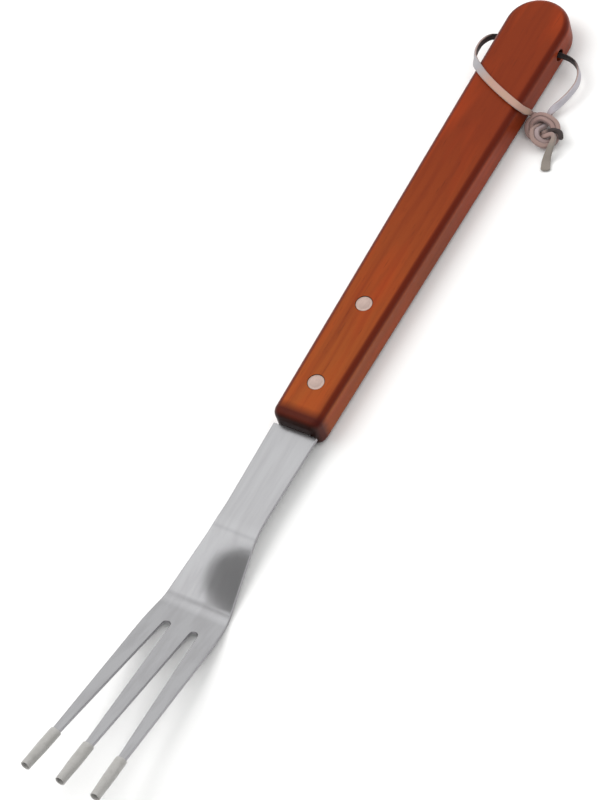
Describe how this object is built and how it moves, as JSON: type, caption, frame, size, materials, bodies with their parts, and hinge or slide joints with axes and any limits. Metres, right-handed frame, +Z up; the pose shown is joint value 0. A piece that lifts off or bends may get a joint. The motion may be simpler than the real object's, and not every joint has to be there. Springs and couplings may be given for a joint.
{
  "type": "barbecue fork",
  "caption": "Long barbecue fork: a bent flat steel blade with tines, riveted into a flared hardwood handle, with soft tip guards and a knotted leather hanging thong.",
  "frame": {"origin": "middle of the handle's flat underside, on the surface that the fork lies on", "axes": "+X along the handle towards the butt, +Y to the left seen from the butt, +Z up; the tines point to -X"},
  "size_m": [0.3994, 0.0558, 0.0251],
  "materials": {
    "handle_wood": "stained hardwood, satin lacquer",
    "blade_steel": "satin stainless sheet",
    "rivet_metal": "ground flush, satin",
    "guard_vinyl": "soft milky vinyl",
    "thong_leather": "undyed split leather, pale on one side"
  },
  "bodies": {
    "fork": {"handle": "handle_wood", "fork_blade": "blade_steel", "rivet_tube_front": "rivet_metal", "rivet_pin_front": "rivet_metal", "rivet_tube_rear": "rivet_metal", "rivet_pin_rear": "rivet_metal"},
    "left_guard": {"tip_guard_left": "guard_vinyl"},
    "middle_guard": {"tip_guard_middle": "guard_vinyl"},
    "right_guard": {"tip_guard_right": "guard_vinyl"},
    "thong": {"leather_thong": "thong_leather"}
  },
  "joints": [
    {"name": "left_guard_slide", "type": "slide", "parent": "fork", "child": "left_guard", "axis": [-0.9697, 0.0447, 0.24], "range_m": [0, 0.022]},
    {"name": "middle_guard_slide", "type": "slide", "parent": "fork", "child": "middle_guard", "axis": [-0.9707, 0, 0.2402], "range_m": [0, 0.022]},
    {"name": "right_guard_slide", "type": "slide", "parent": "fork", "child": "right_guard", "axis": [-0.9697, -0.0447, 0.24], "range_m": [0, 0.022]},
    {"name": "thong_swing", "type": "hinge", "parent": "fork", "child": "thong", "pos_m": [0.0915, 0, 0.0075], "axis": [0, 1, 0], "range_deg": [0, 170]}
  ]
}
